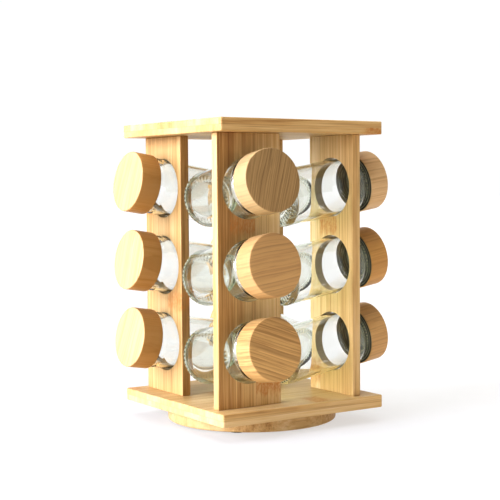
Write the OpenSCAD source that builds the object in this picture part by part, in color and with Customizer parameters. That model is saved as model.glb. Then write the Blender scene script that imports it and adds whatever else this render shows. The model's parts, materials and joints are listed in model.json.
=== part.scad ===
// Spice carousel: two square bamboo boards joined by four pierced uprights turn
// on a round bamboo base, and each upright carries three tilted screw-top jars.
// The origin is on the floor, on the axis that the carousel turns about, and +Z is up.
// The front upright stands on the -Y side, and the other three follow it
// anticlockwise, seen from above, each a quarter turn further.

/* [Boards] */
// Side of the two square boards
board_side = 160; // [158:1:190]
// Thickness of the lower board
lower_board_t = 10.4; // [9:0.1:14]
// Thickness of the upper board
upper_board_t = 10.8; // [10:0.1:14]
// Bevel along every edge of the boards and uprights
edge_bevel = 0.6; // [0.2:0.1:1.2]

/* [Uprights] */
// Length of an upright between the two boards
upright_len = 220; // [212:1:250]
// Width of an upright
upright_w = 60.2; // [58:0.1:66]
// Thickness of an upright
upright_t = 8; // [7:0.1:9]
// Gap from the board's corner to the nearer edge of an upright
upright_end_gap = 7.4; // [5:0.1:9]
// Gap from the board's side to the outer face of an upright
upright_face_gap = 17.9; // [14:0.1:19]
// Diameter of the jar holes
hole_d = 49.8; // [49.7:0.1:50]
// Height of the lowest jar hole above the foot of its upright
hole_first = 44; // [40:1:50]
// Distance from one jar hole to the next
hole_pitch = 66; // [60:1:70]

/* [Jars] */
// Diameter of a glass jar
jar_d = 47.4; // [44:0.1:47.4]
// Length from the centre of the hole to the inner end of the jar
jar_reach = 63.5; // [56:0.5:64]
// Thickness of the glass wall
jar_wall = 2.3; // [1.8:0.1:3]
// Thickness of the glass at the inner end
jar_floor = 4.4; // [3:0.1:6]
// Outer diameter of the threaded neck, without its thread
neck_d = 36.4; // [36:0.1:37]
// Inner diameter of the mouth
mouth_d = 31.4; // [28:0.1:32]
// How far the outer end of a jar is tilted up
jar_tilt = 9.2; // [7:0.1:9.2]
// How far the front and back jars turn sideways in their holes: bottom, middle, top
jar_yaw = [2, 2.8, -0.4]; // [-3.2:0.1:3.2]

/* [Lids] */
// Diameter of a wooden lid
lid_d = 50.8; // [50:0.1:54]
// Height of a wooden lid
lid_h = 18.6; // [18.6:0.1:22]
// Distance from the centre of the hole to the inner edge of the lid
lid_stand_off = 20.1; // [19.8:0.1:22]
// Radius of the lid's outer edge
lid_edge_r = 0.9; // [0.4:0.1:2]

/* [Turntable] */
// Diameter of the round base
disc_d = 144.8; // [140:0.2:156]
// Thickness of the round base
disc_t = 10.2; // [9:0.1:14]
// Gap between the round base and the lower board
disc_gap = 1; // [0.8:0.1:3]
// Height of the rubber feet
foot_h = 1.5; // [1:0.1:3]
// Diameter of the rubber feet
foot_d = 14; // [8:1:16]

/* [Bearing] */
// Number of bearing balls
ball_count = 20; // [12:1:24]
// Diameter of a bearing ball
ball_d = 5; // [4.8:0.1:5]
// Radius of the circle that the balls run on
ball_track_r = 42; // [41:0.5:42]
// Thickness of a race
race_t = 2.2; // [2:0.1:2.4]

/* [Hidden] */
$fn = 96;
SIDES = ["front", "right", "back", "left"];
LEVELS = ["bottom", "middle", "top"];

bamboo = "#dcb678";
bamboo_lid = "#c9995c";
clear_glass = [0.86, 0.93, 0.9, 0.45];
steel = "#b9bcc0";
rubber = "#2e2e30";
foam = "#3b3a37";
cage_plastic = "#d9d6cc";

slit = 0.05;                 // play between pieces that are fixed together
ball_play = 0.15;            // play around a ball

disc_z = foot_h;
disc_top = disc_z + disc_t;
lower_board_z = disc_top + disc_gap;
upright_z = lower_board_z + lower_board_t;
upper_board_z = upright_z + upright_len;

upright_x = -board_side / 2 + upright_end_gap + upright_w / 2;
upright_y = -board_side / 2 + upright_face_gap + upright_t / 2;

bearing_h = 8;               // from the foot of the lower race to the top of the upper one
upper_pocket = race_t + 0.1; // depth of the pocket in the lower board
bearing_z = lower_board_z + upper_pocket - bearing_h;
bearing_top = bearing_z + bearing_h;
ball_z = bearing_z + bearing_h / 2;
pocket_r = 53;
race_in_r = 30;
lower_race_r = 45.4;
upper_race_r = 52;
cage_t = 1.2;
cage_in_r = 38.6;
cage_out_r = 45.2;
lower_screw_r = 34;          // radius of the circle of screws in the lower race
upper_screw_r = 48.5;        // radius of the circle of screws in the upper race
access_hole_r = 5;           // driver hole in the round base, under an upper race screw

race_screw_r = 1.45;
race_screw_len = 6.4;
pan_head_r = 2.5;
pan_head_h = 1.7;

upright_screw_r = 1.7;
upright_screw_len = 29;
upright_screw_head_r = 3.3;
upright_screw_head_h = 2;
joint_spread = 18;           // from the middle of an upright to its screws and dowels
dowel_r = 2;
dowel_len = 16;

jar_r = jar_d / 2;
neck_r = neck_d / 2;
mouth_r = mouth_d / 2;
heel_r = 5;                  // rounding at the inner end of the jar
shoulder_r = 6;              // rounding below the neck
shoulder_sweep = 80;
bore_heel_r = 5;
bore_shoulder_r = jar_r - jar_wall - mouth_r;
push_up = 1.2;               // hollow under the jar
bearing_ring_r = 16.5;       // radius where the hollow under the jar starts
rim_z = lid_stand_off + 13.5;
thread_h = 1.2;              // how far the thread beads stand out
thread_foot = 2.6;
thread_crest = 0.6;
thread_pitch = 4.2;
thread_start = lid_stand_off + 2.6;

lid_r = lid_d / 2;
lid_top = lid_stand_off + lid_h;
seal_t = 1.2;
seal_r = 18.8;
seal_play = 0.1;             // play between the seal and the rim and lid
lid_bore_r = neck_r + thread_h + 0.4;
lid_floor = rim_z + seal_t + 2 * seal_play;

function name_of(kind, side, level) = str(kind, "_", SIDES[side], "_", LEVELS[level]);
function names_of(kind) = [for (side = [0:3], level = [0:2]) name_of(kind, side, level)];

// Points on an arc about [x, y], from one angle to another
function arc(x, y, r, from, to, steps) =
    [for (i = [0:steps]) let (a = from + (to - from) * i / steps) [x + r * cos(a), y + r * sin(a)]];

function hole_z(level) = upright_z + hole_first + level * hole_pitch;
function yaw(side, level) = side % 2 == 0 ? jar_yaw[level] : 0;

// Places a child that is drawn at the front upright at another side
module on_side(side) rotate([0, 0, 90 * side]) children();

// Turns a child's +Z axis into the axis of a tilted jar, whose origin is the hole's centre
module in_hole(side, level)
    on_side(side)
        translate([upright_x, upright_y, hole_z(level)])
            rotate([90 - jar_tilt, 0, yaw(side, level)])
                children();

module ring_of(count, r, start = 0)
    for (i = [0:count - 1])
        rotate([0, 0, start + 360 * i / count]) translate([r, 0, 0]) children();

// Places a child at the two screws or dowels of each upright
module at_upright_joints()
    for (side = [0:3], end = [-1, 1])
        on_side(side) translate([upright_x + end * joint_spread, upright_y, 0]) children();

// Outline of a rectangle with its four corners cut off
function bevelled_outline(w, d) =
    let (x = w / 2, y = d / 2, b = edge_bevel)
        [[b - x, -y], [x - b, -y], [x, b - y], [x, y - b],
         [x - b, y], [b - x, y], [-x, y - b], [-x, b - y]];

// Box with all twelve edges bevelled, standing on z = 0
module bevelled_box(w, d, h)
    translate([0, 0, h / 2])
        intersection() {
            linear_extrude(h, center = true) polygon(bevelled_outline(w, d));
            rotate([90, 0, 0]) linear_extrude(d, center = true) polygon(bevelled_outline(w, h));
            rotate([90, 0, 90]) linear_extrude(w, center = true) polygon(bevelled_outline(d, h));
        }

// Turned ring with a rectangular section
module washer(r_out, r_in, h)
    rotate_extrude() translate([r_in, 0]) square([r_out - r_in, h]);

module turntable_disc() {
    color(bamboo)
        translate([0, 0, disc_z])
            difference() {
                rotate_extrude()
                    polygon([
                        [0, 0], [disc_d / 2 - 1, 0], [disc_d / 2, 1],
                        [disc_d / 2, disc_t - 1], [disc_d / 2 - 1, disc_t], [0, disc_t]
                    ]);
                translate([0, 0, bearing_z - disc_z]) cylinder(h = disc_t, r = pocket_r);
                ring_of(4, lower_screw_r, 45)
                    translate([0, 0, bearing_z + race_t - race_screw_len - disc_z - slit])
                        cylinder(h = race_screw_len, r = race_screw_r + slit);
                translate([upper_screw_r, 0, -1]) cylinder(h = disc_t, r = access_hole_r);
            }
}

module rubber_feet() {
    color(rubber)
        ring_of(4, disc_d / 2 - foot_d / 2 - 6, 45) cylinder(h = foot_h, d = foot_d);
}

// Groove for the balls, drawn about the ball circle
module ball_groove()
    translate([0, 0, ball_z])
        rotate_extrude() translate([ball_track_r, 0]) circle(r = ball_d / 2 + ball_play);

module lower_race() {
    color(steel)
        difference() {
            translate([0, 0, bearing_z]) washer(lower_race_r, race_in_r, race_t);
            ball_groove();
            ring_of(4, lower_screw_r, 45)
                translate([0, 0, bearing_z - 1]) cylinder(h = race_t + 2, r = race_screw_r + slit);
        }
}

module upper_race() {
    color(steel)
        difference() {
            translate([0, 0, bearing_top - race_t]) washer(upper_race_r, race_in_r, race_t);
            ball_groove();
            ring_of(4, upper_screw_r)
                translate([0, 0, bearing_top - race_t - 1])
                    cylinder(h = race_t + 2, r = race_screw_r + slit);
        }
}

// Pan-head screw with its head's underside at z = 0 and its shank pointing down
module pan_head_screw()
    rotate_extrude()
        polygon(concat(
            [[0, -race_screw_len], [race_screw_r * 0.4, -race_screw_len],
             [race_screw_r, -race_screw_len + 1.5], [race_screw_r, 0], [pan_head_r, 0]],
            arc(pan_head_r - 1, pan_head_h - 1, 1, 0, 90, 4),
            [[0, pan_head_h]]));

module lower_race_screws() {
    color(steel)
        ring_of(4, lower_screw_r, 45) translate([0, 0, bearing_z + race_t]) pan_head_screw();
}

module upper_race_screws() {
    color(steel)
        ring_of(4, upper_screw_r)
            translate([0, 0, bearing_top - race_t]) rotate([180, 0, 0]) pan_head_screw();
}

module bearing_balls() {
    color(steel)
        ring_of(ball_count, ball_track_r) translate([0, 0, ball_z]) sphere(d = ball_d);
}

module ball_cage() {
    color(cage_plastic)
        translate([0, 0, ball_z - cage_t / 2])
            difference() {
                washer(cage_out_r, cage_in_r, cage_t);
                ring_of(ball_count, ball_track_r)
                    translate([0, 0, -1]) cylinder(h = cage_t + 2, r = ball_d / 2 + ball_play);
            }
}

// Countersunk screw, its head flush with z = 0 and its shank pointing up
module countersunk_screw(play = 0)
    rotate_extrude()
        polygon([
            [0, 0], [upright_screw_head_r + play, 0], [upright_screw_r + play, upright_screw_head_h],
            [upright_screw_r + play, upright_screw_len - 3 + play],
            [0.3, upright_screw_len + play], [0, upright_screw_len + play]
        ]);

module lower_board() {
    color(bamboo)
        difference() {
            translate([0, 0, lower_board_z]) bevelled_box(board_side, board_side, lower_board_t);
            translate([0, 0, lower_board_z - 1]) cylinder(h = upper_pocket + 1, r = pocket_r);
            ring_of(4, upper_screw_r)
                translate([0, 0, lower_board_z])
                    cylinder(h = bearing_top - race_t + race_screw_len + slit - lower_board_z,
                             r = race_screw_r + slit);
            at_upright_joints() translate([0, 0, lower_board_z]) countersunk_screw(slit);
        }
}

module upright_screws() {
    color(steel) at_upright_joints() translate([0, 0, lower_board_z]) countersunk_screw();
}

module upright(side) {
    color(bamboo)
        on_side(side)
            translate([upright_x, upright_y, 0])
                difference() {
                    translate([0, 0, upright_z]) bevelled_box(upright_w, upright_t, upright_len);
                    for (level = [0:2])
                        translate([0, 0, hole_z(level)])
                            rotate([90, 0, 0]) cylinder(h = 2 * upright_t, d = hole_d, center = true);
                    for (end = [-1, 1])
                        translate([end * joint_spread, 0, 0]) {
                            translate([0, 0, lower_board_z]) countersunk_screw(slit);
                            translate([0, 0, upper_board_z - dowel_len / 2 - slit])
                                cylinder(h = dowel_len, r = dowel_r + slit);
                        }
                }
}

module top_dowels() {
    color(bamboo)
        at_upright_joints()
            translate([0, 0, upper_board_z - dowel_len / 2]) cylinder(h = dowel_len, r = dowel_r);
}

module upper_board() {
    color(bamboo)
        difference() {
            translate([0, 0, upper_board_z]) bevelled_box(board_side, board_side, upper_board_t);
            at_upright_joints()
                translate([0, 0, upper_board_z - 1])
                    cylinder(h = 1 + dowel_len / 2 + slit, r = dowel_r + slit);
        }
}

// One bead of the thread on a neck, as four points of its outline
function thread_bead(z) = [
    [neck_r, z],
    [neck_r + thread_h, z + (thread_foot - thread_crest) / 2],
    [neck_r + thread_h, z + (thread_foot + thread_crest) / 2],
    [neck_r, z + thread_foot]
];

// Half of a jar's section, from the middle of its inner end out and round to its inside
jar_outline = let (end = -jar_reach, bore_r = jar_r - jar_wall) concat(
    [[0, end + push_up], [bearing_ring_r - 2, end + push_up], [bearing_ring_r, end]],
    arc(jar_r - heel_r, end + heel_r, heel_r, -90, 0, 6),
    arc(jar_r - shoulder_r, lid_stand_off - 6.7, shoulder_r, 0, shoulder_sweep, 6),
    [[neck_r, lid_stand_off - 0.5]],
    thread_bead(thread_start),
    thread_bead(thread_start + thread_pitch),
    [[neck_r, rim_z - 0.6], [neck_r - 0.6, rim_z], [mouth_r + 0.6, rim_z], [mouth_r, rim_z - 0.6]],
    arc(mouth_r, lid_stand_off - 6.7, bore_shoulder_r, 90, 0, 6),
    arc(bore_r - bore_heel_r, end + jar_floor + bore_heel_r, bore_heel_r, 0, -90, 6),
    [[0, end + jar_floor]]
);

module glass_jar(side, level) {
    color(clear_glass) in_hole(side, level) rotate_extrude() polygon(jar_outline);
}

module seal(side, level) {
    color(foam)
        in_hole(side, level)
            translate([0, 0, rim_z + seal_play]) cylinder(h = seal_t, r = seal_r);
}

module lid(side, level) {
    color(bamboo_lid)
        in_hole(side, level)
            rotate_extrude()
                polygon(concat(
                    [[lid_bore_r, lid_stand_off], [lid_r - 0.5, lid_stand_off],
                     [lid_r, lid_stand_off + 0.5]],
                    arc(lid_r - lid_edge_r, lid_top - lid_edge_r, lid_edge_r, 0, 90, 4),
                    [[0, lid_top], [0, lid_floor], [lid_bore_r, lid_floor]]));
}

turntable_disc();
rubber_feet();
lower_race();
lower_race_screws();
bearing_balls();
ball_cage();
upper_race();
upper_race_screws();
lower_board();
upper_board();
upright_screws();
top_dowels();
for (side = [0:3]) {
    upright(side);
    for (level = [0:2]) {
        glass_jar(side, level);
        seal(side, level);
        lid(side, level);
    }
}
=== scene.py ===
"""Looks of the spice carousel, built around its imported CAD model, in metres and in the CAD frame."""
import json
import math

import bmesh
import bpy
from mathutils import Matrix, Vector


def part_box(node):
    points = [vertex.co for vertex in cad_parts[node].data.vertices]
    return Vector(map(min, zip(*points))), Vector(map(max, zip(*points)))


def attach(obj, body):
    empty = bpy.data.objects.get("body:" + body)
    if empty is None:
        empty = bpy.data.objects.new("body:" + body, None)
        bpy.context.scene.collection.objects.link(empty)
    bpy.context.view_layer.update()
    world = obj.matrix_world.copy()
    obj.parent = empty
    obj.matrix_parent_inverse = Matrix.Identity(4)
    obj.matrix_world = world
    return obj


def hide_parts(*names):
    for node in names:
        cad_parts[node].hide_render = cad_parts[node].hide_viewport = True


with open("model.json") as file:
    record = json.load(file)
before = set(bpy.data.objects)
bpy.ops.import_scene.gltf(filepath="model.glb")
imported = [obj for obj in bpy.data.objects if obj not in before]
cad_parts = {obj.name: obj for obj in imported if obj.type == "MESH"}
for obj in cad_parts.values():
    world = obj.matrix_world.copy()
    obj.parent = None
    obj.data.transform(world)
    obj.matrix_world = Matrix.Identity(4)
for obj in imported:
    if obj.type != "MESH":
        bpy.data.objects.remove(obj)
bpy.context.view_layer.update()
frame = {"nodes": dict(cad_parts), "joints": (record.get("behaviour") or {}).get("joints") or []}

SCENE = bpy.context.scene
JOINTS = {joint["name"]: joint for joint in frame["joints"]}
MM = 0.001
LEVELS = ("bottom", "middle", "top")


# ---------------------------------------------------------------- places, read from the frame

def jar_place(side, level):
    """A matrix with its +Z axis along a jar, towards the lid, and its origin in the middle of the hole."""
    joint = JOINTS[f"lid_{side}_{level}_unscrew"]
    axis = Vector(joint["axis"]).normalized()
    sideways = Vector((0, 0, 1)).cross(axis).normalized()
    upwards = axis.cross(sideways)
    turn = Matrix((sideways, upwards, axis)).transposed().to_4x4()
    return Matrix.Translation(joint["pos_m"]) @ turn


def turned_size(node, place):
    """(lowest station, highest station, largest radius) of a turned CAD node about the +Z axis of a place."""
    back = place.inverted()
    points = [back @ v.co for v in frame["nodes"][node].data.vertices]
    stations = [p.z for p in points]
    return min(stations), max(stations), max(math.hypot(p.x, p.y) for p in points)


FIRST = jar_place("front", "middle")
JAR_END, JAR_RIM, JAR_R = turned_size("glass_jar_front_middle", FIRST)
LID_FOOT, LID_TOP, LID_R = turned_size("lid_front_middle", FIRST)
SEAL_FOOT, SEAL_TOP, SEAL_R = turned_size("seal_front_middle", FIRST)

# Sizes of the glass and of the screw insert, which the CAD model shares
GLASS_WALL = 2.3 * MM
GLASS_FLOOR = 4.4 * MM
NECK_R = 18.2 * MM
MOUTH_R = 15.7 * MM
HEEL_R = 5 * MM
SHOULDER_R = 6 * MM
SHOULDER_STATION = LID_FOOT - 6.7 * MM
THREAD_H = 1.1 * MM
THREAD_PITCH = 4.2 * MM
INSERT_R = 19.9 * MM
INSERT_WALL = 0.4 * MM
FLANGE_T = 0.4 * MM
FLANGE_R = LID_R - 0.7 * MM


# ---------------------------------------------------------------- mesh helpers

def new_object(name, mesh):
    piece = bpy.data.objects.new(name, mesh)
    SCENE.collection.objects.link(piece)
    return piece


def arc(x, y, r, start, end, steps):
    """Points on an arc about (x, y), between two angles in degrees."""
    angles = [math.radians(start + (end - start) * i / steps) for i in range(steps + 1)]
    return [(x + r * math.cos(a), y + r * math.sin(a)) for a in angles]


def line(start, end, steps):
    """Points from start to end, without the last."""
    return [tuple(a + (b - a) * i / steps for a, b in zip(start, end)) for i in range(steps)]


def smooth_step(low, high, x):
    """A smooth rise from 0 where x is low to 1 where x is high."""
    t = min(max((x - low) / (high - low), 0.0), 1.0)
    return t * t * (3 - 2 * t)


def faces_between(a, n, b, m):
    """Faces between a ring of n points, the first with the number a, and a ring of m points from b on."""
    if n == 1:
        return [(a, b + (i + 1) % m, b + i) for i in range(m)]
    if m == 1:
        return [(a + i, a + (i + 1) % n, b) for i in range(n)]
    coarse = min(n, m)
    step_a, step_b = n // coarse, m // coarse
    faces = []
    for i in range(coarse):
        near = [a + (i * step_a + k) % n for k in range(step_a + 1)]
        far = [b + (i * step_b + k) % m for k in range(step_b + 1)]
        faces.append(tuple(near + far[::-1]))
    return faces


def lathe(name, rings, sharp=35):
    """A turned mesh. A ring is (radius, station, segments, shape), where shape is None or a function that
    takes (angle, radius, station) and returns a changed (radius, station). A ring of radius 0 is one point.
    Where two rings differ in segments, the faces between them have more corners on the finer side."""
    verts, faces, loops = [], [], []
    for radius, station, count, shape in rings:
        first = len(verts)
        if radius == 0:
            verts.append((0, 0, station))
            loops.append((first, 1))
            continue
        for i in range(count):
            angle = 2 * math.pi * i / count
            r, z = shape(angle, radius, station) if shape else (radius, station)
            verts.append((r * math.cos(angle), r * math.sin(angle), z))
        loops.append((first, count))
    for (a, n), (b, m) in zip(loops, loops[1:]):
        faces += faces_between(a, n, b, m)
    mesh = bpy.data.meshes.new(name)
    mesh.from_pydata(verts, [], faces)
    tidy_normals(mesh, sharp)
    return mesh


def tidy_normals(mesh, sharp):
    """Faces turned outwards, smooth shading, and edges sharper than an angle in degrees left crisp."""
    work = bmesh.new()
    work.from_mesh(mesh)
    bmesh.ops.recalc_face_normals(work, faces=work.faces)
    work.to_mesh(mesh)
    work.free()
    mesh.shade_smooth()
    mesh.set_sharp_from_angle(angle=math.radians(sharp))
    mesh.update()


def plain(points, count):
    """Rings of a lathe from (radius, station) points."""
    return [(r, z, count, None) for r, z in points]


# How many faces go round a rounded corner or edge of a board, and round a hole in it
ROUND_STEPS = 4
HOLE_STEPS = 96


def rounded_outline(half_w, half_h, corner_r, inset):
    """Corner points of a rectangle with round corners, moved inwards."""
    w, h, r = half_w - inset, half_h - inset, max(corner_r - inset, 0.05 * MM)
    points = []
    for quarter, (sx, sy) in enumerate(((1, 1), (-1, 1), (-1, -1), (1, -1))):
        points += arc(sx * (w - r), sy * (h - r), r, 90 * quarter, 90 * quarter + 90, ROUND_STEPS)
    return points


def hole_outline(x, y, r, inset):
    """Points of a round hole, clockwise, moved into the wood."""
    angles = [-2 * math.pi * i / HOLE_STEPS for i in range(HOLE_STEPS)]
    return [(x + (r + inset) * math.cos(a), y + (r + inset) * math.sin(a)) for a in angles]


def board(name, width, height, thickness, corner_r, edge_r, holes=()):
    """A flat board in the XY plane about the origin, with every edge rounded. holes are (x, y, radius)."""
    edge = arc(edge_r, thickness / 2 - edge_r, edge_r, 90, 180, ROUND_STEPS)
    profile = edge + [(inset, -z) for inset, z in reversed(edge)]
    walls = [[rounded_outline(width / 2, height / 2, corner_r, inset) for inset, _ in profile]]
    walls += [[hole_outline(x, y, r, inset) for inset, _ in profile] for x, y, r in holes]
    work = bmesh.new()
    rims = {0: [], len(profile) - 1: []}
    for outlines in walls:
        loops = [[work.verts.new((x, y, z)) for x, y in outline]
                 for outline, (_, z) in zip(outlines, profile)]
        for low, high in zip(loops, loops[1:]):
            for i in range(len(low)):
                j = (i + 1) % len(low)
                work.faces.new((low[i], low[j], high[j], high[i]))
        for at in rims:
            ring = loops[at]
            rims[at] += [work.edges.get(ends) for ends in zip(ring, ring[1:] + ring[:1])]
    for edges in rims.values():
        bmesh.ops.triangle_fill(work, use_beauty=True, use_dissolve=False, edges=edges)
    mesh = bpy.data.meshes.new(name)
    work.to_mesh(mesh)
    work.free()
    tidy_normals(mesh, 50)
    return mesh


def cut(piece, cutter_mesh):
    """Takes a closed mesh out of a piece."""
    cutter = new_object("cutter", cutter_mesh)
    modifier = piece.modifiers.new("cut", "BOOLEAN")
    modifier.operation, modifier.solver, modifier.object = "DIFFERENCE", "EXACT", cutter
    bake_modifiers(piece)
    bpy.data.objects.remove(cutter)


def bake_modifiers(piece):
    """Puts the result of a piece's modifiers into its mesh."""
    depsgraph = bpy.context.evaluated_depsgraph_get()
    depsgraph.update()
    mesh = bpy.data.meshes.new_from_object(piece.evaluated_get(depsgraph))
    piece.modifiers.clear()
    piece.data = mesh


def weigh_normals(piece):
    """Keeps flat faces flat beside rounded edges."""
    piece.modifiers.new("weigh", "WEIGHTED_NORMAL").keep_sharp = True
    bake_modifiers(piece)


def joined(name, meshes_at):
    """One mesh of several placed meshes."""
    work = bmesh.new()
    for mesh, place in meshes_at:
        copy = mesh.copy()
        copy.transform(place)
        work.from_mesh(copy)
        bpy.data.meshes.remove(copy)
    mesh = bpy.data.meshes.new(name)
    work.to_mesh(mesh)
    work.free()
    mesh.shade_smooth()
    mesh.set_sharp_from_angle(angle=math.radians(35))
    return mesh


# ---------------------------------------------------------------- material helpers

class Shader:
    """The node tree of a material or a world, with short calls for the nodes that are used here."""

    def __init__(self, owner, output="ShaderNodeOutputMaterial"):
        owner.use_nodes = True
        self.owner = owner
        self.tree = owner.node_tree
        self.tree.nodes.clear()
        self.out = self.tree.nodes.new(output)

    def node(self, kind, settings=(), **inputs):
        made = self.tree.nodes.new(kind)
        for key, value in dict(settings).items():
            setattr(made, key, value)
        for key, value in inputs.items():
            self.set(made.inputs[key.replace("_", " ")], value)
        return made

    def set(self, socket, value):
        if isinstance(value, bpy.types.NodeSocket):
            self.tree.links.new(value, socket)
        else:
            socket.default_value = value

    def math(self, operation, a, b=0.0, c=0.0, clamp=False):
        made = self.tree.nodes.new("ShaderNodeMath")
        made.operation, made.use_clamp = operation, clamp
        for socket, value in zip(made.inputs, (a, b, c)):
            self.set(socket, value)
        return made.outputs[0]

    def length(self, x, y):
        """The distance of (x, y) from (0, 0)."""
        return self.math("SQRT", self.math("MULTIPLY_ADD", x, x, self.math("MULTIPLY", y, y)))

    def from_half(self, value):
        """How far a value is from the nearest half, such as 2.5: 0.5 at every whole number."""
        return self.math("ABSOLUTE", self.math("SUBTRACT", self.math("FRACT", value), 0.5))

    def join(self, x, y, z):
        return self.node("ShaderNodeCombineXYZ", X=x, Y=y, Z=z).outputs[0]

    def place(self):
        """The three coordinates of a point in the piece's own space."""
        where = self.node("ShaderNodeTexCoord").outputs["Object"]
        parts = self.node("ShaderNodeSeparateXYZ", Vector=where)
        return list(parts.outputs)

    def facing(self, axis):
        """How squarely a surface faces along one of the piece's own axes, from 0 to 1."""
        normal = self.node("ShaderNodeTexCoord").outputs["Normal"]
        parts = self.node("ShaderNodeSeparateXYZ", Vector=normal)
        return self.math("ABSOLUTE", parts.outputs["XYZ".index(axis)])

    def noise(self, vector, detail=2.0, roughness=0.5, scale=1.0):
        return self.node("ShaderNodeTexNoise", Vector=vector, Scale=scale, Detail=detail,
                         Roughness=roughness).outputs["Fac"]

    def stretched(self, place, scales, detail=2.0, roughness=0.5, shifts=(0.0, 0.0, 0.0)):
        """Noise with its own scale and shift along each coordinate of a place."""
        vector = [self.math("MULTIPLY_ADD", *terms) for terms in zip(place, scales, shifts)]
        return self.noise(self.join(*vector), detail, roughness)

    def random(self, value):
        return self.node("ShaderNodeTexWhiteNoise", {"noise_dimensions": "1D"}, W=value).outputs["Value"]

    def sum_of(self, *terms):
        """Sum of (value, weight) terms, each value first shifted to be about 0."""
        total = 0.0
        for value, weight in terms:
            total = self.math("MULTIPLY_ADD", self.math("SUBTRACT", value, 0.5), weight, total)
        return total

    def choose(self, factor, a, b):
        """The number a where the factor is 0, and b where it is 1."""
        return self.node("ShaderNodeMix", {"data_type": "FLOAT"}, Factor=factor, A=a, B=b).outputs[0]

    def mix(self, factor, a, b):
        """The colour a where the factor is 0, and b where it is 1."""
        made = self.node("ShaderNodeMix", {"data_type": "RGBA"})
        for socket, value in zip((made.inputs[0], made.inputs[6], made.inputs[7]), (factor, a, b)):
            self.set(socket, value)
        return made.outputs[2]

    def span(self, value, low, high, to_low, to_high):
        return self.node("ShaderNodeMapRange", {"interpolation_type": "SMOOTHSTEP"}, Value=value,
                         From_Min=low, From_Max=high, To_Min=to_low, To_Max=to_high).outputs[0]

    def ramp(self, factor, stops):
        made = self.tree.nodes.new("ShaderNodeValToRGB")
        points = made.color_ramp.elements
        for _ in stops[2:]:
            points.new(0.5)
        for point, (position, colour) in zip(points, stops):
            point.position, point.color = position, (*colour, 1)
        self.set(made.inputs[0], factor)
        return made.outputs[0]

    def bump(self, height, distance, strength=1.0):
        return self.node("ShaderNodeBump", Height=height, Distance=distance, Strength=strength).outputs[0]

    def principled(self, **inputs):
        made = self.node("ShaderNodeBsdfPrincipled", **inputs)
        self.tree.links.new(made.outputs[0], self.out.inputs["Surface"])


def material_shader(name):
    """The empty node tree of a new material."""
    return Shader(bpy.data.materials.new(name))


def shade(colour, share):
    """A colour made darker or paler, with its alpha."""
    return (*(min(c * share, 1.0) for c in colour), 1)


# ---------------------------------------------------------------- bamboo

# The bamboo's colours from its darkest fibres to its palest
BAMBOO_STOPS = (
    (0.0, (0.32, 0.16, 0.05)),
    (0.28, (0.49, 0.285, 0.1)),
    (0.5, (0.61, 0.4, 0.162)),
    (0.72, (0.69, 0.49, 0.228)),
    (1.0, (0.77, 0.59, 0.33)),
)
# The colours of the mottled bands at the cane's nodes, the fine dark fibres, the glue and the painted shade
# on the walls of the holes
CANE_NODE_COLOUR = (0.52, 0.235, 0.06, 1)
FIBRE_COLOUR = (0.32, 0.165, 0.052, 1)
GLUE_COLOUR = (0.32, 0.17, 0.065, 1)
HOLE_WALL_SHADE_COLOUR = (0.2, 0.1, 0.03, 1)
# Width of a strip, and how far apart the cane's nodes are along it
STRIP = 24 * MM
NODE_PITCH = 0.34
# How far each next strip's nodes are shifted, as a share of their pitch, and the second layer's strips, as a
# share of a strip
NODE_SHIFT = 0.382
LAYER_SHIFT = 0.37


def bore_walls(s, grain, across, centre, first, pitch):
    """1 on the walls of the round holes, one a level, a pitch apart along the grain. 0 elsewhere."""
    turns = s.math("DIVIDE", s.math("SUBTRACT", grain, first), pitch)
    nearest = s.math("MINIMUM", s.math("MAXIMUM", s.math("ROUND", turns), 0.0), len(LEVELS) - 1.0)
    along = s.math("MULTIPLY", s.math("SUBTRACT", turns, nearest), pitch)
    radius = s.length(along, s.math("SUBTRACT", across, centre))
    return s.span(radius, HOLE_R + 0.05 * MM, HOLE_R + 0.3 * MM, 1.0, 0.0)


def with_painted_light_and_shade(s, value, grain, across, narrow, bores, painted_light_and_shade):
    """Painted light and shade on the wood: paler or darker across and along from the middle hole, and evenly
    on the narrow sides.
    """
    centre, first, pitch = bores
    aside = s.math("MULTIPLY", s.math("SUBTRACT", across, centre), painted_light_and_shade[0])
    change = s.math("MULTIPLY_ADD", s.math("SUBTRACT", grain, first + pitch), painted_light_and_shade[1], aside)
    change = s.math("MULTIPLY", change, s.math("SUBTRACT", 1.0, narrow))
    return s.math("ADD", s.math("MULTIPLY_ADD", narrow, painted_light_and_shade[2], value), change)


def cane_nodes(s, grain, number, node_at, ragged):
    """1 in a band across each strip at the cane's nodes, further along in the next strip. 0 elsewhere. ragged
    is the noise that breaks up the edges of the bands."""
    start = s.math("DIVIDE", s.math("SUBTRACT", grain, node_at), NODE_PITCH)
    laps = s.math("MULTIPLY_ADD", number, NODE_SHIFT, start)
    away = s.from_half(s.math("ADD", laps, 0.5))
    away = s.math("MULTIPLY_ADD", s.math("SUBTRACT", ragged, 0.5), 0.055, away)
    return s.span(away, 0.012, 0.036, 1.0, 0.0)


def glue_lines(s, strips, strip, depth, mid_line):
    """How strongly the glue shows, between the strips and between the two layers, if there are two."""
    glue = s.span(s.from_half(strips), 0.5 - 0.3 * MM / strip, 0.5 - 0.08 * MM / strip, 0.0, 0.4)
    if mid_line is None:
        return glue
    away = s.math("ABSOLUTE", s.math("SUBTRACT", depth, mid_line))
    return s.math("MAXIMUM", glue, s.span(away, 0.08 * MM, 0.4 * MM, 0.34, 0.0))


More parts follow.
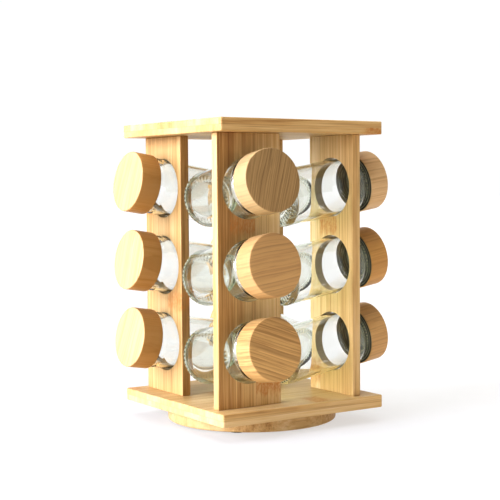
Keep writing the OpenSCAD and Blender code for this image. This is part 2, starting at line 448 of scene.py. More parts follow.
def bamboo(name, axes, strip, offset, seed, node_at=0.1, mid_line=None, tone_shift=0.0, bores=None,
           painted_light_and_shade=None):
    """Laminated bamboo. axes gives the grain's, the strips' and the thickness's axis, such as "ZXY". A strip
    starts at the offset, and has a node of the cane at node_at. mid_line is the place of the glue line
    between two layers, and tone_shift makes all the wood paler or darker. bores gives the middle of the first
    round hole, across and along, and the pitch of the holes, whose walls get painted shade. The last argument
    paints light and shade as paler or darker wood, by so much a metre, across and along, and by so much on
    the narrow sides."""
    s = material_shader(name)
    where = dict(zip("XYZ", s.place()))
    grain, across, depth = (where[axis] for axis in axes)
    # The pattern is weaker on end grain
    calm = s.math("MULTIPLY_ADD", s.span(s.facing(axes[0]), 0.5, 0.8, 0.0, 1.0), -0.7, 1.0)
    layer = s.math("GREATER_THAN", depth, mid_line) if mid_line is not None else 0.0
    start = s.math("MULTIPLY_ADD", layer, LAYER_SHIFT * strip, s.math("SUBTRACT", across, offset))
    strips = s.math("DIVIDE", start, strip)
    number = s.math("ADD", s.math("FLOOR", strips), s.math("MULTIPLY", layer, 5.0))
    index = s.math("ADD", number, seed * 17.0)
    tone, slide = s.random(index), s.random(s.math("ADD", index, 0.5))
    along = s.math("MULTIPLY_ADD", slide, 3.0, grain)

    def fibres(grain_scale, cross_scale, detail, roughness=0.5):
        scales = (grain_scale, cross_scale, cross_scale * 0.4)
        return s.stretched((along, across, depth), scales, detail, roughness)

    streaks = fibres(9, 760, 3, 0.6)
    fine = fibres(45, 2200, 2, 0.6)
    lines = s.sum_of((fibres(7, 330, 2), 0.6), (streaks, 1.1), (fine, 0.4))
    value = s.math("MULTIPLY_ADD", lines, calm, s.sum_of((tone, 0.26), (fibres(5, 120, 1), 0.5)))
    if bores:
        # Painted light and shade: the wood made paler or darker across and along from the middle hole, and on
        # the narrow sides
        narrow = s.span(s.facing(axes[1]), 0.5, 0.8, 0.0, 1.0)
        value = with_painted_light_and_shade(s, value, grain, across, narrow, bores, painted_light_and_shade)
    colour = s.ramp(s.math("ADD", value, 0.53 + tone_shift), BAMBOO_STOPS)
    band = s.math("MULTIPLY", cane_nodes(s, grain, number, node_at, fibres(60, 420, 2)), calm)
    mottle = s.span(fibres(230, 560, 3, 0.75), 0.38, 0.6, 0.25, 0.95)
    colour = s.mix(s.math("MULTIPLY", band, mottle), colour, CANE_NODE_COLOUR)
    dark = s.math("MAXIMUM", s.span(streaks, 0.28, 0.42, 0.3, 0.0),
                  s.span(fibres(13, 1250, 1), 0.3, 0.42, 0.34, 0.0))
    colour = s.mix(s.math("MULTIPLY", dark, calm), colour, FIBRE_COLOUR)
    glue = glue_lines(s, strips, strip, depth, mid_line)
    colour = s.mix(glue, colour, GLUE_COLOUR)
    # Painted shade on the walls of the round holes
    if bores:
        hole_wall_shade = s.math("MULTIPLY", bore_walls(s, grain, across, *bores), 0.5)
        colour = s.mix(hole_wall_shade, colour, HOLE_WALL_SHADE_COLOUR)
    relief = s.math("SUBTRACT", s.sum_of((fine, 0.6), (streaks, 0.8)), s.math("MULTIPLY", glue, 0.8))
    s.principled(Base_Color=colour, Roughness=s.span(streaks, 0.2, 0.8, 0.52, 0.38),
                 Normal=s.bump(relief, 0.06 * MM), Coat_Weight=0.06, Coat_Roughness=0.32,
                 Specular_IOR_Level=0.28)
    return s.owner


# ---------------------------------------------------------------- other materials

def lid_wood(name, seed, dark, pale, contrast, rings, painted_side_light_and_shade=None):
    """Flat-sawn wood of a lid. The grain runs along the piece's own X axis, and the growth rings, so many to
    a metre, stand across Y: each darkens slowly and ends sharply. The last argument, if given, is the share
    and the colour mixed into the side, below the flat face, as painted light where it is paler and painted
    shade where it is darker."""
    s = material_shader(name)
    x, y, z = s.place()
    far = seed * 0.731
    wander = s.stretched((x, y, z), (16, 30, 14), 1.0, shifts=(far, 0.0, 0.0))
    bent = s.math("MULTIPLY_ADD", s.math("SUBTRACT", wander, 0.5), 5.5 * MM, y)

    def layers(grain_scale, cross_scale, detail, roughness=0.5):
        scales = (grain_scale, cross_scale, grain_scale * 1.3)
        return s.stretched((x, bent, z), scales, detail, roughness, (far, far * 7, 0.0))

    broad = layers(4, 95, 1)
    lines = layers(7, 640, 2, 0.55)
    pores = layers(45, 1150, 1)
    fine = layers(38, 1900, 2, 0.6)
    count = s.math("MULTIPLY_ADD", bent, rings, s.math("MULTIPLY_ADD", broad, 4.5, far * 13))
    late = s.math("POWER", s.math("FRACT", count), 2.6)
    depth = s.math("MULTIPLY_ADD", s.random(s.math("FLOOR", count)), 0.75, 0.25)
    late = s.math("MULTIPLY", late, depth)
    value = s.sum_of((broad, 0.5), (lines, 0.9), (fine, 0.5))
    middle = tuple((a + b) / 2 for a, b in zip(dark, pale))
    stops = ((0.12, dark), (0.5, middle), (0.85, pale))
    colour = s.ramp(s.math("MULTIPLY_ADD", value, contrast, 0.6), stops)
    deep = shade(dark, 0.62)
    colour = s.mix(s.math("MULTIPLY", late, contrast * 0.85), colour, deep)
    thin = s.math("MAXIMUM", s.span(lines, 0.31, 0.42, 0.45 * contrast, 0.0),
                  s.span(pores, 0.3, 0.4, 0.35 * contrast, 0.0))
    colour = s.mix(thin, colour, deep)
    # Painted light and shade on the lid's side: a paler colour where the side faces the light, a darker one
    # where it is in shade
    if painted_side_light_and_shade:
        share, tone = painted_side_light_and_shade
        colour = s.mix(s.span(s.facing("Z"), 0.3, 0.8, share, 0.0), colour, (*tone, 1))
    relief = s.sum_of((fine, 0.7), (lines, 0.6), (pores, 0.5))
    s.principled(Base_Color=colour, Roughness=s.span(lines, 0.3, 0.7, 0.52, 0.4),
                 Normal=s.bump(relief, 0.05 * MM), Coat_Weight=0.05, Coat_Roughness=0.34,
                 Specular_IOR_Level=0.25)
    return s.owner


# The glass's colour at its surface, the light that each surface lets through to a shadow, and the colour and
# density of what the glass itself absorbs
GLASS_COLOUR = (0.99, 0.981, 0.985, 1)
GLASS_SHADOW = (0.93, 0.935, 0.92, 1)
GLASS_TINT = (0.7, 0.87, 0.56, 1)
GLASS_DENSITY = 32.0


def clear_glass():
    """Slightly uneven, faintly green clear glass, with light shadows."""
    s = material_shader("clear glass")
    ripple = s.stretched(s.place(), (55, 55, 24), 1.5)
    glass = s.node("ShaderNodeBsdfPrincipled", Base_Color=GLASS_COLOUR, Roughness=0.0, IOR=1.5,
                   Transmission_Weight=1.0, Normal=s.bump(ripple, 0.4 * MM, 0.35))
    shadow = s.node("ShaderNodeBsdfTransparent", Color=GLASS_SHADOW)
    mixed = s.node("ShaderNodeMixShader")
    kinds = s.node("ShaderNodeLightPath")
    s.set(mixed.inputs[0], kinds.outputs["Is Shadow Ray"])
    s.set(mixed.inputs[1], glass.outputs[0])
    s.set(mixed.inputs[2], shadow.outputs[0])
    tint = s.node("ShaderNodeVolumeAbsorption", Color=GLASS_TINT, Density=GLASS_DENSITY)
    s.set(s.out.inputs["Surface"], mixed.outputs[0])
    s.set(s.out.inputs["Volume"], tint.outputs[0])
    return s.owner


def rolled_metal(name, colour, roughness, metallic=1.0, ridges=0.0):
    """Sheet or turned metal with fine marks that run round the piece's own Z axis. ridges is how far apart
    the bands of painted shade in its hollows are, or 0 for none."""
    s = material_shader(name)
    x, y, z = s.place()
    radius = s.length(x, y)
    marks = s.stretched((radius, z, 0.0), (2600, 2600, 0), 2.0)
    clouds = s.stretched((x, y, z), (60, 60, 60), 3.0)
    value = s.sum_of((marks, 0.25), (clouds, 0.5))
    tint = s.mix(s.math("ADD", value, 0.5, clamp=True), shade(colour, 0.62), shade(colour, 1.0))
    if ridges:
        turn = s.math("DIVIDE", s.math("ADD", radius, z), ridges)
        # Painted shade in the hollows between the ridges
        hollow_shade = s.span(s.from_half(turn), 0.12, 0.3, 0.0, 0.95)
        tint = s.mix(hollow_shade, tint, shade(colour, 0.12))
    s.principled(Base_Color=tint, Metallic=metallic,
                 Roughness=s.math("MULTIPLY_ADD", value, 0.3, roughness, clamp=True),
                 Normal=s.bump(marks, 0.02 * MM, 0.6))
    return s.owner


def moulded(name, colour, roughness, grain=900.0, glint_rings=None):
    """Moulded plastic, foam or rubber with a fine even texture and slight mottling. The last argument, if
    given, holds the radius of the first of the rings of painted highlight round the piece's own Z axis, their
    pitch and their colour."""
    s = material_shader(name)
    where = s.node("ShaderNodeTexCoord").outputs["Object"]
    dots = s.noise(where, 3.0, 0.6, scale=grain)
    clouds = s.noise(where, 2.0, 0.5, scale=grain / 30)
    value = s.math("ADD", s.sum_of((dots, 0.5), (clouds, 0.5)), 0.5)
    tint = s.mix(value, shade(colour, 0.8), shade(colour, 1.1))
    # Painted highlight: paler rings round the piece's own Z axis
    if glint_rings:
        first, pitch, glint_colour = glint_rings
        x, y, _ = s.place()
        turns = s.math("DIVIDE", s.math("SUBTRACT", s.length(x, y), first), pitch)
        away = s.math("ABSOLUTE", s.math("SUBTRACT", turns, s.math("ROUND", turns)))
        tint = s.mix(s.span(away, 0.06, 0.16, 0.8, 0.0), tint, glint_colour)
    s.principled(Base_Color=tint, Roughness=s.math("MULTIPLY_ADD", dots, 0.12, roughness - 0.06),
                 Normal=s.bump(dots, 0.03 * MM, 0.7))
    return s.owner


# ---------------------------------------------------------------- pieces

def dress(piece, material):
    piece.data.materials.clear()
    piece.data.materials.append(material)


def dress_node(name, material):
    """Gives a CAD node that stays in view a finished material."""
    for place in frame["nodes"][name].material_slots:
        place.material = material


def add_piece(name, mesh, material, body, stands_for=(), place=None):
    """A finished piece, which rides on a body and stands for the CAD nodes that it replaces."""
    piece = new_object(name, mesh)
    if place is not None:
        piece.matrix_world = place
    dress(piece, material)
    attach(piece, body)
    if stands_for:
        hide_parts(*stands_for)
    return piece


# ---------------------------------------------------------------- boards, uprights and base

BOARD_CORNER_R = 1.6 * MM
BOARD_EDGE_R = 0.9 * MM
UPRIGHT_CORNER_R = 0.9 * MM
UPRIGHT_EDGE_R = 0.7 * MM
HOLE_R = 24.9 * MM
# A countersunk screw: the radius of its head and its shank, and how deep the cone under its head is
SCREW_HEAD_R = 3.35 * MM
SCREW_SHANK_R = 1.6 * MM
SCREW_CONE = 2 * MM
# How each screw in the lower board happens to be turned, in degrees
SCREW_TURNS = (12, 71, 33, 58, 5, 47, 80, 24)
# Room round the upper race in the pockets of the lower board and the turntable
RACE_GAP = 1 * MM
# Each upright's side, seed, where a strip starts, the height of a node of the cane, how pale the wood is, and
# the painted light and shade, as paler wood by so much a metre across and along, and on its narrow sides.
# Each is a quarter turn on.
UPRIGHTS = (
    ("front", 11, -0.037, 0.04, 0.0, (10.5, -0.4, 0.16)),
    ("right", 23, -0.051, 0.168, 0.1, (1.5, 0.5, 0.14)),
    ("back", 31, 0.02, 0.2, 0.0, (0.0, 0.0, 0.0)),
    ("left", 47, 0.012, 0.104, -0.12, (-2.0, 0.0, -0.3)),
)


def middle_and_size(node):
    low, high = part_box(node)
    return (low + high) / 2, high - low


def make_board(node, seed, node_at, tone_shift, cutters=()):
    """One of the two square boards, with its grain along X and a glue line half way up."""
    middle, size = middle_and_size(node)
    mesh = board(node, size.x, size.y, size.z, BOARD_CORNER_R, BOARD_EDGE_R)
    mesh.transform(Matrix.Translation(middle))
    material = bamboo(f"bamboo {node}", "XYZ", STRIP, -92 * MM, seed, node_at, middle.z, tone_shift)
    piece = add_piece(f"{node}_panel", mesh, material, "carousel", [node])
    for cutter in cutters:
        cut(piece, cutter)
    weigh_normals(piece)


def screw_places():
    """Middle of each countersunk head, on the underside of the lower board, read from the CAD screws."""
    low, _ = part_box("upright_screws")
    heads = [v.co for v in frame["nodes"]["upright_screws"].data.vertices if v.co.z < low.z + 0.1 * MM]
    middles = []
    for point in heads:
        group = [p for p in heads if (p - point).length < 3 * SCREW_HEAD_R]
        middle = sum(group, Vector()) / len(group)
        if all((middle - m).length > SCREW_HEAD_R for m in middles):
            middles.append(middle)
    return middles


def bearing_pocket():
    """The round pocket under the lower board, as a closed mesh to cut away."""
    low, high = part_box("upper_race")
    bottom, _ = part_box("lower_board")
    radius = (high.x - low.x) / 2 + RACE_GAP
    depth = high.z - bottom.z + 0.1 * MM
    chamfer = 0.5 * MM
    rings = plain([(0, -1 * MM), (radius, -1 * MM), (radius, depth - chamfer), (radius - chamfer, depth),
                   (0, depth)], 128)
    mesh = lathe("pocket", rings)
    mesh.transform(Matrix.Translation((0, 0, bottom.z)))
    return mesh


def screw_sinks():
    """The countersunk holes under the lower board, as a closed mesh to cut away."""
    mouth_r, hole_r, depth = SCREW_HEAD_R + 0.15 * MM, SCREW_SHANK_R + 0.2 * MM, 8 * MM
    rings = plain([(0, -1 * MM), (mouth_r, -1 * MM), (mouth_r, 0), (hole_r, SCREW_CONE), (hole_r, depth),
                   (0, depth)], 48)
    sink = lathe("sink", rings)
    return joined("sinks", [(sink, Matrix.Translation(p)) for p in screw_places()])


def countersunk_head():
    """The head of a countersunk screw seen from below, with a cross recess, its rim at station 0."""
    rim_r, end = SCREW_HEAD_R - 0.05 * MM, 7 * MM
    rings = plain([(0, 0), (rim_r - 0.2 * MM, 0), (rim_r, 0.08 * MM), (rim_r, 0.25 * MM),
                   (SCREW_SHANK_R, SCREW_CONE), (SCREW_SHANK_R, end), (0, end)], 48)
    head = new_object("head", lathe("head", rings))
    for turn in (0, 90):
        wing = board("wing", 3.9 * MM, 0.75 * MM, 3.0 * MM, 0.3 * MM, 0.1 * MM)
        wing.transform(Matrix.Rotation(math.radians(turn), 4, "Z"))
        cut(head, wing)
    mesh = head.data
    bpy.data.objects.remove(head)
    return mesh


def make_boards(steel):
    make_board("upper_board", 3, 0.07, 0.1)
    make_board("lower_board", 8, 0.12, 0.16, (bearing_pocket(), screw_sinks()))
    head = countersunk_head()
    places = [Matrix.Translation(p) @ Matrix.Rotation(math.radians(turn), 4, "Z")
              for p, turn in zip(screw_places(), SCREW_TURNS)]
    heads = joined("upright_screw_heads", [(head, p) for p in places])
    add_piece("upright_screw_heads", heads, steel, "carousel", ["upright_screws"])


def make_upright(turn, side, seed, offset, node_at, tone_shift, painted_light_and_shade):
    """An upright is drawn flat, with its length along Y, then stood up at its side of the square."""
    node = f"upright_{side}"
    middle, size = middle_and_size(node)
    width, thickness = max(size.x, size.y), min(size.x, size.y)
    heights = [JOINTS[f"lid_{side}_{level}_unscrew"]["pos_m"][2] for level in LEVELS]
    holes = [(0, height - middle.z, HOLE_R) for height in heights]
    mesh = board(node, width, size.z, thickness, UPRIGHT_CORNER_R, UPRIGHT_EDGE_R, holes)
    stand = Matrix.Rotation(math.radians(90 * turn), 4, "Z") @ Matrix.Rotation(math.radians(90), 4, "X")
    mesh.transform(Matrix.Translation(middle) @ stand)
    axes, centre = ("ZXY", middle.x) if turn % 2 == 0 else ("ZYX", middle.y)
    bores = (centre, heights[0], heights[1] - heights[0])
    material = bamboo(f"bamboo {node}", axes, STRIP, offset, seed, node_at, None, tone_shift, bores, painted_light_and_shade)
    weigh_normals(add_piece(f"{node}_panel", mesh, material, "carousel", [node]))


def make_base():
    """The round turntable, with the bearing's pocket in its upper face and a hole to reach a screw."""
    low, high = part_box("turntable_disc")
    radius, fillet, lip = high.x, 1.6 * MM, 0.4 * MM
    pocket_low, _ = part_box("lower_race")
    _, race_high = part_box("upper_race")
    pocket_r = race_high.x + RACE_GAP
    points = [(0, low.z)]
    points += arc(radius - fillet, low.z + fillet, fillet, -90, 0, 6)
    points += arc(radius - fillet, high.z - fillet, fillet, 0, 90, 6)
    points += arc(pocket_r + lip, high.z - lip, lip, 90, 180, 3)
    points += [(pocket_r, pocket_low.z), (0, pocket_low.z)]
    mesh = lathe("turntable", plain(points, 192))
    material = bamboo("bamboo turntable", "XYZ", 6 * STRIP, -80 * MM, 5, 0.06)
    piece = add_piece("turntable_base", mesh, material, "turntable", ["turntable_disc"])
    screw_low, screw_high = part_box("upper_race_screws")
    reach = (screw_high.x - screw_low.x) / 2 - 2.5 * MM
    hole_r, hole_low, hole_high = 5 * MM, -2 * MM, 10 * MM
    hole = lathe("hole", plain([(0, hole_low), (hole_r, hole_low), (hole_r, hole_high), (0, hole_high)], 64))
    hole.transform(Matrix.Translation((reach, 0, low.z)))
    cut(piece, hole)
    weigh_normals(piece)


def make_feet(rubber):
    """Four low round pads, each with a shallow hollow underneath."""
    low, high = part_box("rubber_feet")
    height, radius, rise = high.z - low.z, 7 * MM, 0.15 * MM
    foot_edge, top_edge = 0.4 * MM, 0.25 * MM
    ring_r = ((high.x - low.x) / 2 - radius) * math.sqrt(2)
    points = [(0, rise), (radius * 0.55, rise), (radius * 0.62, 0)]
    points += arc(radius - foot_edge, foot_edge, foot_edge, -90, 0, 4)
    points += arc(radius - top_edge, height - top_edge, top_edge, 0, 90, 3)
    foot = lathe("foot", plain(points + [(0, height)], 64))
    places = [Matrix.Rotation(math.radians(45 + 90 * i), 4, "Z") @ Matrix.Translation((ring_r, 0, low.z))
              for i in range(4)]
    pads = joined("rubber_foot_pads", [(foot, p) for p in places])
    add_piece("rubber_foot_pads", pads, rubber, "turntable", ["rubber_feet"])


# ---------------------------------------------------------------- jars, inserts, seals and lids

# Corners round a jar, at its knurled end and elsewhere
FINE, COARSE = 432, 108
KNURLS = 36
KNURL_H = 0.8 * MM
# The jar's end inside its knurled ring is a shallow dish. Its middle and its edge as (radius, height), and
# the radii at which the knurls stand out in full, in millimetres
DISH_MIDDLE = ((0, 0.95), (5, 0.94), (10, 0.88), (13.2, 0.78))
DISH_EDGE = ((14.6, 0.55), (15.4, 0.25), (16.0, 0.06))
KNURL_RADII = (16.9, 17.4)
THREAD_START = LID_FOOT + 2.2 * MM
# How many turns the jar's thread and the insert's have, and how many rings a thread is drawn with
JAR_TURNS = 1.55
INSERT_TURNS = 1.5
THREAD_STEPS = 44


def thread_bump(angle, station, start, turns, half_width, height):
    """How far a helical bead stands out at an angle and station."""
    best = 0.0
    for lap in range(math.ceil(turns) + 1):
        along = angle / (2 * math.pi) + lap
        if along > turns:
            continue
        fade = smooth_step(0, 0.09, along) * smooth_step(0, 0.09, turns - along)
        off = abs(station - start - THREAD_PITCH * along)
        best = max(best, height * fade * (1 - smooth_step(0.25 * half_width, half_width, off)))
    return best


def neck_shape(angle, radius, station):
    """The glass thread, which stands out from the jar's neck."""
    return radius + thread_bump(angle, station, THREAD_START, JAR_TURNS, 1.35 * MM, THREAD_H), station


def knurled(angle, radius, station):
    """Short radial ribs round the ring that the jar would stand on."""
    return radius, station - KNURL_H * smooth_step(-0.35, 0.55, math.cos(KNURLS * angle))


def jar_end_rings(stand_r, end):
    """The dish in the jar's end, the knurled ring round it, and the round heel up to the jar's side."""
    rings = plain([(r * MM, end + z * MM) for r, z in DISH_MIDDLE], COARSE)
    rings += plain([(r * MM, end + z * MM) for r, z in DISH_EDGE], FINE)
    rings += [(r * MM, end, FINE, knurled) for r in KNURL_RADII] + [(stand_r, end, FINE, knurled)]
    heel = arc(stand_r, end + HEEL_R, HEEL_R, -90, 0, 12)[1:]
    rings += [(r, z, FINE, knurled) for r, z in heel[:4]]
    rings += plain(heel[4:6], FINE)
    rings += plain(heel[6:], COARSE)
    return rings


def jar_inside_rings(lip, bore_r, floor):
    """The jar's inside, from the mouth down to the floor."""
    shoulder_r = bore_r - MOUTH_R
    heel_r = bore_r - HEEL_R
    points = line((MOUTH_R, JAR_RIM - lip), (MOUTH_R, SHOULDER_STATION + shoulder_r), 4)[1:]
    points += arc(MOUTH_R, SHOULDER_STATION, shoulder_r, 90, 0, 10)
    points += line((bore_r, SHOULDER_STATION), (bore_r, floor + HEEL_R), 6)[1:]
    points += arc(heel_r, floor + HEEL_R, HEEL_R, 0, -90, 8)
    points += [(heel_r - 4 * MM, floor + 0.15 * MM), (6 * MM, floor + 0.5 * MM), (0, floor + 0.6 * MM)]
    return plain(points, COARSE)


def jar_rings():
    """The whole glass, from the middle of its end, over the rim and down to the middle of its floor."""
    end, lip = JAR_END + KNURL_H, 0.9 * MM
    rings = jar_end_rings(JAR_R - HEEL_R, end)
    rings += plain(line((JAR_R, end + HEEL_R), (JAR_R, SHOULDER_STATION), 6)[1:], COARSE)
    rings += plain(arc(JAR_R - SHOULDER_R, SHOULDER_STATION, SHOULDER_R, 0, 82, 12), COARSE)
    neck_foot, neck_top = LID_FOOT - 0.4 * MM, JAR_RIM - 1.0 * MM
    rings += [(NECK_R, neck_foot + (neck_top - neck_foot) * i / THREAD_STEPS, COARSE, neck_shape)
              for i in range(THREAD_STEPS + 1)]
    rings += plain(arc(NECK_R - lip, JAR_RIM - lip, lip, 0, 90, 5)[1:], COARSE)
    rings += plain(arc(MOUTH_R + lip, JAR_RIM - lip, lip, 90, 180, 5), COARSE)
    return rings + jar_inside_rings(lip, JAR_R - GLASS_WALL, end + GLASS_FLOOR - 0.5 * MM)


def insert_shape(angle, radius, station):
    """The rolled thread of the metal insert, which stands inwards between the turns of the jar's thread."""
    start = THREAD_START + THREAD_PITCH / 2
    return radius - thread_bump(angle, station, start, INSERT_TURNS, 1.3 * MM, 1.05 * MM), station


def insert_rings():
    """A thin screw shell inside the lid, with a flat flange that covers the lid's foot."""
    low, high = LID_FOOT + 1.0 * MM, SEAL_TOP + 0.1 * MM
    inside = [(INSERT_R, low + (high - low) * i / THREAD_STEPS, COARSE, insert_shape)
              for i in range(THREAD_STEPS + 1)]
    outer_r = INSERT_R + INSERT_WALL
    outside = [(outer_r, z, COARSE, insert_shape) for _, z, _, _ in inside[::-1]]
    top = high + 0.35 * MM
    cap = [(0, top + INSERT_WALL), (INSERT_R - 0.2 * MM, top + INSERT_WALL),
           (outer_r, top + INSERT_WALL - 0.4 * MM)]
    step = 0.3 * MM
    ceiling = [(INSERT_R - 0.4 * MM, top), (13.6 * MM, top), (13 * MM, top - step), (0, top - step)]
    bend, roll = 0.5 * MM, FLANGE_T / 2
    flange = [(outer_r, LID_FOOT + FLANGE_T)]
    flange += arc(FLANGE_R - roll, LID_FOOT + roll, roll, 90, -90, 5)
    flange += arc(INSERT_R + bend, LID_FOOT + bend, bend, -90, -180, 5)
    return plain(cap, COARSE) + outside + plain(flange, COARSE) + inside + plain(ceiling, COARSE)


def lid_rings():
    """The turned wooden lid, with the bore that holds the insert."""
    edge, foot_edge = 0.9 * MM, 0.4 * MM
    foot = LID_FOOT + FLANGE_T
    bore = INSERT_R + INSERT_WALL + 0.2 * MM
    ceiling = LID_TOP - 2.6 * MM
    points = [(0, LID_TOP)]
    points += line((6 * MM, LID_TOP), (LID_R - edge, LID_TOP), 3)
    points += arc(LID_R - edge, LID_TOP - edge, edge, 90, 0, 7)
    points += line((LID_R, LID_TOP - edge), (LID_R, foot + foot_edge), 5)[1:]
    points += arc(LID_R - foot_edge, foot + foot_edge, foot_edge, 0, -90, 4)
    points += [(bore + foot_edge, foot), (bore, foot + foot_edge), (bore, ceiling), (0, ceiling)]
    return plain(points, 160)


# Round grooves in the seal: the first one's radius, their pitch, their number and the colour of the painted
# highlight in their floors
GROOVE_FIRST_R = 4 * MM
GROOVE_PITCH = 2.6 * MM
GROOVES = 6
GROOVE_GLINT_COLOUR = (0.62, 0.5, 0.27, 1)


def seal_rings():
    """A disc with shallow round grooves in the face towards the jar."""
    edge, depth, half_mouth, half_floor = 0.25 * MM, 0.4 * MM, 0.9 * MM, 0.45 * MM
    points = [(0, SEAL_FOOT)]
    for i in range(GROOVES):
        r = GROOVE_FIRST_R + GROOVE_PITCH * i
        points += [(r - half_mouth, SEAL_FOOT), (r - half_floor, SEAL_FOOT + depth),
                   (r + half_floor, SEAL_FOOT + depth), (r + half_mouth, SEAL_FOOT)]
    points += arc(SEAL_R - edge, SEAL_FOOT + edge, edge, -90, 0, 3)
    points += arc(SEAL_R - edge, SEAL_TOP - edge, edge, 0, 90, 3)
    points += [(0, SEAL_TOP)]
    return plain(points, 96)


# A lid's wood: its darkest and palest colour, its contrast, the growth rings to a metre, and for some the
# share and the colour of painted light (paler, on the oak) or painted shade (darker, on the honey) on the
# side
OAK = ((0.26, 0.155, 0.06), (0.5, 0.335, 0.148), 0.9, 420, (0.3, (0.8, 0.62, 0.33)))
CHERRY = ((0.46, 0.268, 0.108), (0.66, 0.43, 0.19), 0.6, 300)
ELM = ((0.4, 0.222, 0.076), (0.69, 0.455, 0.19), 1.0, 290)
ASH = ((0.53, 0.32, 0.13), (0.75, 0.55, 0.31), 0.6, 260)
HONEY = ((0.5, 0.28, 0.095), (0.75, 0.54, 0.28), 0.5, 260, (0.62, (0.43, 0.195, 0.025)))
AMBER = ((0.47, 0.24, 0.07), (0.64, 0.385, 0.135), 0.4, 240)
# How the grain of each lid is turned about its axis, in degrees, and its wood
LID_LOOKS = {
    ("front", "top"): (72, OAK),
    ("front", "middle"): (8, CHERRY),
    ("front", "bottom"): (-20, ELM),
    ("left", "top"): (80, HONEY),
    ("left", "middle"): (84, HONEY),
    ("left", "bottom"): (76, HONEY),
    ("right", "top"): (12, ASH),
    ("right", "middle"): (-30, AMBER),
    ("right", "bottom"): (-8, CHERRY),
    ("back", "top"): (25, ELM),
    ("back", "middle"): (-55, ASH),
    ("back", "bottom"): (48, OAK),
}


def make_jars():
    glass = clear_glass()
    # Rings of painted highlight in the floors of the seal's grooves
    glint_rings = (GROOVE_FIRST_R, GROOVE_PITCH, GROOVE_GLINT_COLOUR)
    foam = moulded("seal foam", (0.07, 0.062, 0.05), 0.36, 1400.0, glint_rings)
    metal = rolled_metal("rolled insert", (0.24, 0.215, 0.15), 0.42, metallic=0.6, ridges=2.2 * MM)
    jar, insert = lathe("jar", jar_rings(), 60), lathe("insert", insert_rings(), 50)
    seal, lid = lathe("seal", seal_rings(), 40), lathe("lid", lid_rings(), 50)
    for number, ((side, level), (grain, wood)) in enumerate(LID_LOOKS.items()):
        tag = f"{side}_{level}"
        place = jar_place(side, level)
        turned = place @ Matrix.Rotation(math.radians(grain), 4, "Z")
        add_piece(f"jar_{tag}", jar.copy(), glass, f"jar_{tag}", [f"glass_jar_{tag}"], place)
        add_piece(f"lid_insert_{tag}", insert.copy(), metal, f"lid_{tag}", (), place)
        add_piece(f"seal_disc_{tag}", seal.copy(), foam, f"lid_lift_{tag}", [f"seal_{tag}"],
                  place)
        material = lid_wood(f"lid wood {tag}", number + 1, *wood)
        add_piece(f"wooden_lid_{tag}", lid.copy(), material, f"lid_{tag}", [f"lid_{tag}"], turned)


# ---------------------------------------------------------------- stage, light and camera

# The camera's direction and tilt in degrees, its distance from the middle of the boards in metres, and its
# lens in millimetres
CAMERA_AZIMUTH = 33.6
CAMERA_ELEVATION = 3.05
CAMERA_ROLL = -0.39
CAMERA_DISTANCE = 1.0478
CAMERA_LENS = 87.6
# Where the camera's axis passes, from the middle of the boards: sideways and up
CAMERA_OFFSET = (-0.00068, 0.01227)

# Each light's name, where it comes from, its strength, its width in degrees and its colour
LIGHTS = (
    ("key", (-1.0, 0.06, 0.23), 6.9, 46, (0.92, 0.99, 1.28)),
    ("top", (-0.1, 0.1, 1.0), 2.1, 60, (1.0, 1.0, 1.0)),
)
# How bright the room is: as seen, as mirrored behind the object and on the camera's side, and as fill
SEEN_LEVEL = 1.02
BEHIND_LEVEL = 1.03
CAMERA_SIDE_LEVEL = 0.82
FILL_LEVEL = 0.4
FILL_COLOUR = (1.0, 0.87, 0.76, 1)
# Which way the brighter side of the room lies, in degrees, how high it is, and between which nearnesses to
# that way, from -1 to 1, the brightness changes
BEHIND_AZIMUTH = 8.6
BEHIND_HEIGHT = 0.25
BEHIND_SPAN = (-0.6, 0.7)
# The floor's brightness as seen, and as a source of light under the object, near it and far from it
FLOOR_SEEN = 0.65
FLOOR_UNDER = 0.35
FLOOR_NEAR = 1.2
FLOOR_FAR = 0.35
FLOOR_REACH = 12.0
WHITE = (1, 1, 1, 1)
# A slightly hard print: shadows keep their colour, and highlights lose it
VIEW_GAMMA = 0.8


def make_camera():
    azimuth, elevation = math.radians(CAMERA_AZIMUTH), math.radians(CAMERA_ELEVATION)
    ahead = Vector((math.sin(azimuth) * math.cos(elevation), math.cos(azimuth) * math.cos(elevation),
                    -math.sin(elevation)))
    right = Vector((math.cos(azimuth), -math.sin(azimuth), 0))
    low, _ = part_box("lower_board")
    _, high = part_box("upper_board")
    middle = Vector((0, 0, (low.z + high.z) / 2))
    sideways, up = CAMERA_OFFSET
    place = middle - ahead * CAMERA_DISTANCE + right * sideways + Vector((0, 0, up))
    turn = ahead.to_track_quat("-Z", "Y").to_matrix().to_4x4()
    roll = Matrix.Rotation(math.radians(CAMERA_ROLL), 4, "Z")
    camera = bpy.data.objects.new("camera", bpy.data.cameras.new("camera"))
    SCENE.collection.objects.link(camera)
    camera.data.lens, camera.data.sensor_width = CAMERA_LENS, 36
    camera.data.clip_start, camera.data.clip_end = 0.01, 50
    camera.matrix_world = Matrix.Translation(place) @ turn @ roll
    SCENE.camera = camera


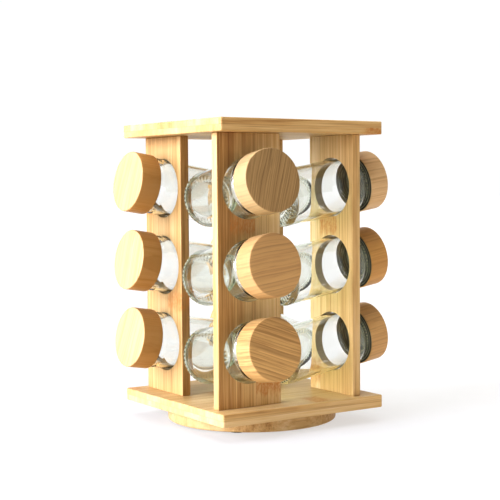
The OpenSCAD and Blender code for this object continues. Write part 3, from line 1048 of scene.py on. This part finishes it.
def make_world():
    """A white studio, mirrored darker on the camera's side, with a warmer and weaker fill light."""
    world = bpy.data.worlds.new("studio")
    s = Shader(world, "ShaderNodeOutputWorld")
    azimuth = math.radians(BEHIND_AZIMUTH)
    behind = s.node("ShaderNodeVectorMath", {"operation": "DOT_PRODUCT"})
    s.set(behind.inputs[0], s.node("ShaderNodeTexCoord").outputs["Generated"])
    s.set(behind.inputs[1], (math.sin(azimuth), math.cos(azimuth), BEHIND_HEIGHT))
    glow = s.span(behind.outputs["Value"], *BEHIND_SPAN, CAMERA_SIDE_LEVEL, BEHIND_LEVEL)
    kinds = s.node("ShaderNodeLightPath")
    level = s.choose(kinds.outputs["Is Camera Ray"], glow, SEEN_LEVEL)
    level = s.choose(kinds.outputs["Is Diffuse Ray"], level, FILL_LEVEL)
    colour = s.mix(kinds.outputs["Is Diffuse Ray"], WHITE, FILL_COLOUR)
    shine = s.node("ShaderNodeBackground", Color=colour, Strength=level)
    s.set(s.out.inputs["Surface"], shine.outputs[0])
    SCENE.world = world


def floor_material():
    """White paper that glows a little. Its light on the object comes mostly from near the object."""
    s = material_shader("white floor")
    x, y, _ = s.place()
    grain = s.noise(s.join(x, y, 0.0), 2.0, 0.5, scale=40.0)
    away = s.length(x, y)
    as_lamp = s.node("ShaderNodeLightPath").outputs["Is Diffuse Ray"]
    near = s.math("MINIMUM", s.span(away, 0.06, 0.2, FLOOR_UNDER, FLOOR_NEAR),
                  s.span(away, 0.3, 0.8, FLOOR_NEAR, FLOOR_FAR))
    strength = s.math("MULTIPLY_ADD", as_lamp, s.math("SUBTRACT", near, FLOOR_SEEN), FLOOR_SEEN)
    s.principled(Base_Color=s.mix(grain, (0.26, 0.26, 0.26, 1), (0.28, 0.28, 0.28, 1)), Roughness=0.7,
                 Specular_IOR_Level=0.1, Emission_Color=s.mix(as_lamp, WHITE, FILL_COLOUR),
                 Emission_Strength=strength)
    return s.owner


def make_floor():
    mesh = bpy.data.meshes.new("floor")
    corners = [(x * FLOOR_REACH, y * FLOOR_REACH, 0) for x, y in ((-1, -1), (1, -1), (1, 1), (-1, 1))]
    mesh.from_pydata(corners, [], [(0, 1, 2, 3)])
    floor = new_object("floor", mesh)
    dress(floor, floor_material())


def make_lights():
    for name, direction, strength, width, colour in LIGHTS:
        light = bpy.data.lights.new(name, "SUN")
        light.energy, light.angle, light.color = strength, math.radians(width), colour
        lamp = bpy.data.objects.new(name, light)
        SCENE.collection.objects.link(lamp)
        lamp.rotation_mode = "QUATERNION"
        lamp.rotation_quaternion = Vector(direction).to_track_quat("Z", "Y")


def set_view():
    """How the picture is printed, and how often light may bounce: often, for glass behind glass."""
    SCENE.view_settings.view_transform = "Standard"
    SCENE.view_settings.look = "None"
    SCENE.view_settings.gamma = VIEW_GAMMA
    SCENE.cycles.max_bounces = 32
    SCENE.cycles.transmission_bounces = 28
    SCENE.cycles.transparent_max_bounces = 24
    SCENE.cycles.diffuse_bounces = 4
    SCENE.cycles.glossy_bounces = 6
    SCENE.cycles.sample_clamp_indirect = 4.0


def main():
    make_camera()
    make_world()
    steel = rolled_metal("zinc plated steel", (0.62, 0.63, 0.65), 0.34)
    make_boards(steel)
    for turn, upright in enumerate(UPRIGHTS):
        make_upright(turn, *upright)
    make_base()
    make_feet(moulded("foot rubber", (0.035, 0.035, 0.037), 0.75, 700.0))
    make_jars()
    for node in ("lower_race", "upper_race", "bearing_balls", "lower_race_screws", "upper_race_screws"):
        dress_node(node, steel)
    dress_node("ball_cage", moulded("cage plastic", (0.75, 0.74, 0.7), 0.45))
    dress_node("top_dowels", bamboo("dowel wood", "ZXY", 2 * STRIP, 0.0, 61))
    make_floor()
    make_lights()
    set_view()


main()
